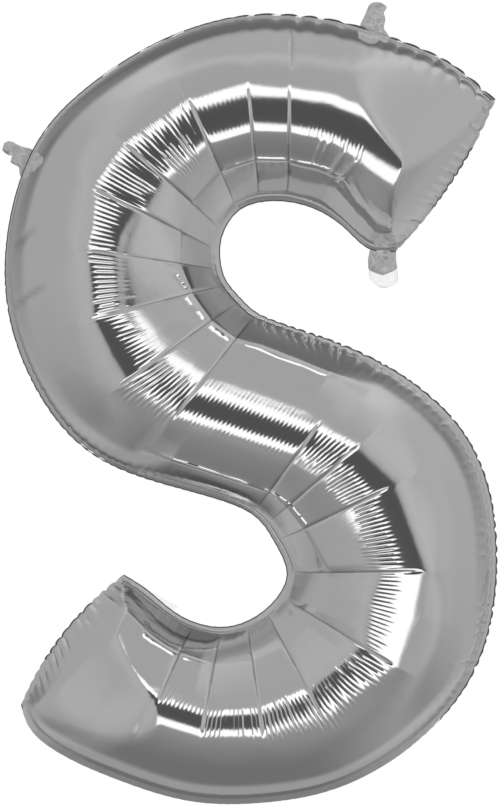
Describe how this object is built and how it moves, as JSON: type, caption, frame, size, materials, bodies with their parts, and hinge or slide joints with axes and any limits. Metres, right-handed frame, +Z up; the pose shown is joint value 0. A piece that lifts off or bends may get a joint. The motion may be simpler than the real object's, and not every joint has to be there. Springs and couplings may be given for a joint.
{
  "type": "letter foil balloon",
  "caption": "Inflated silver foil balloon in the shape of a capital S, with welded seam, hang tabs and a filler neck with a clear valve film.",
  "frame": {"origin": "middle of the envelope, on the plane of the welded seam; the air around it holds the balloon there", "axes": "+Z up along the letter's height, +X to the letter's right as it is read, the letter's front faces -Y"},
  "size_m": [0.5389, 0.189, 0.8718],
  "materials": {
    "silver_foil": "mirror-bright aluminised polyester film, stretched smooth by the gas",
    "crumpled_foil": "aluminised polyester film, slack and creased",
    "clear_film": "clear polythene film, slightly cloudy"
  },
  "bodies": {
    "root": {"front_panel": "silver_foil", "back_panel": "silver_foil", "top_hang_tab": "crumpled_foil", "left_hang_tab": "crumpled_foil", "filler_neck": "crumpled_foil", "valve_film": "clear_film", "bay_flap": "clear_film"}
  },
  "joints": []
}
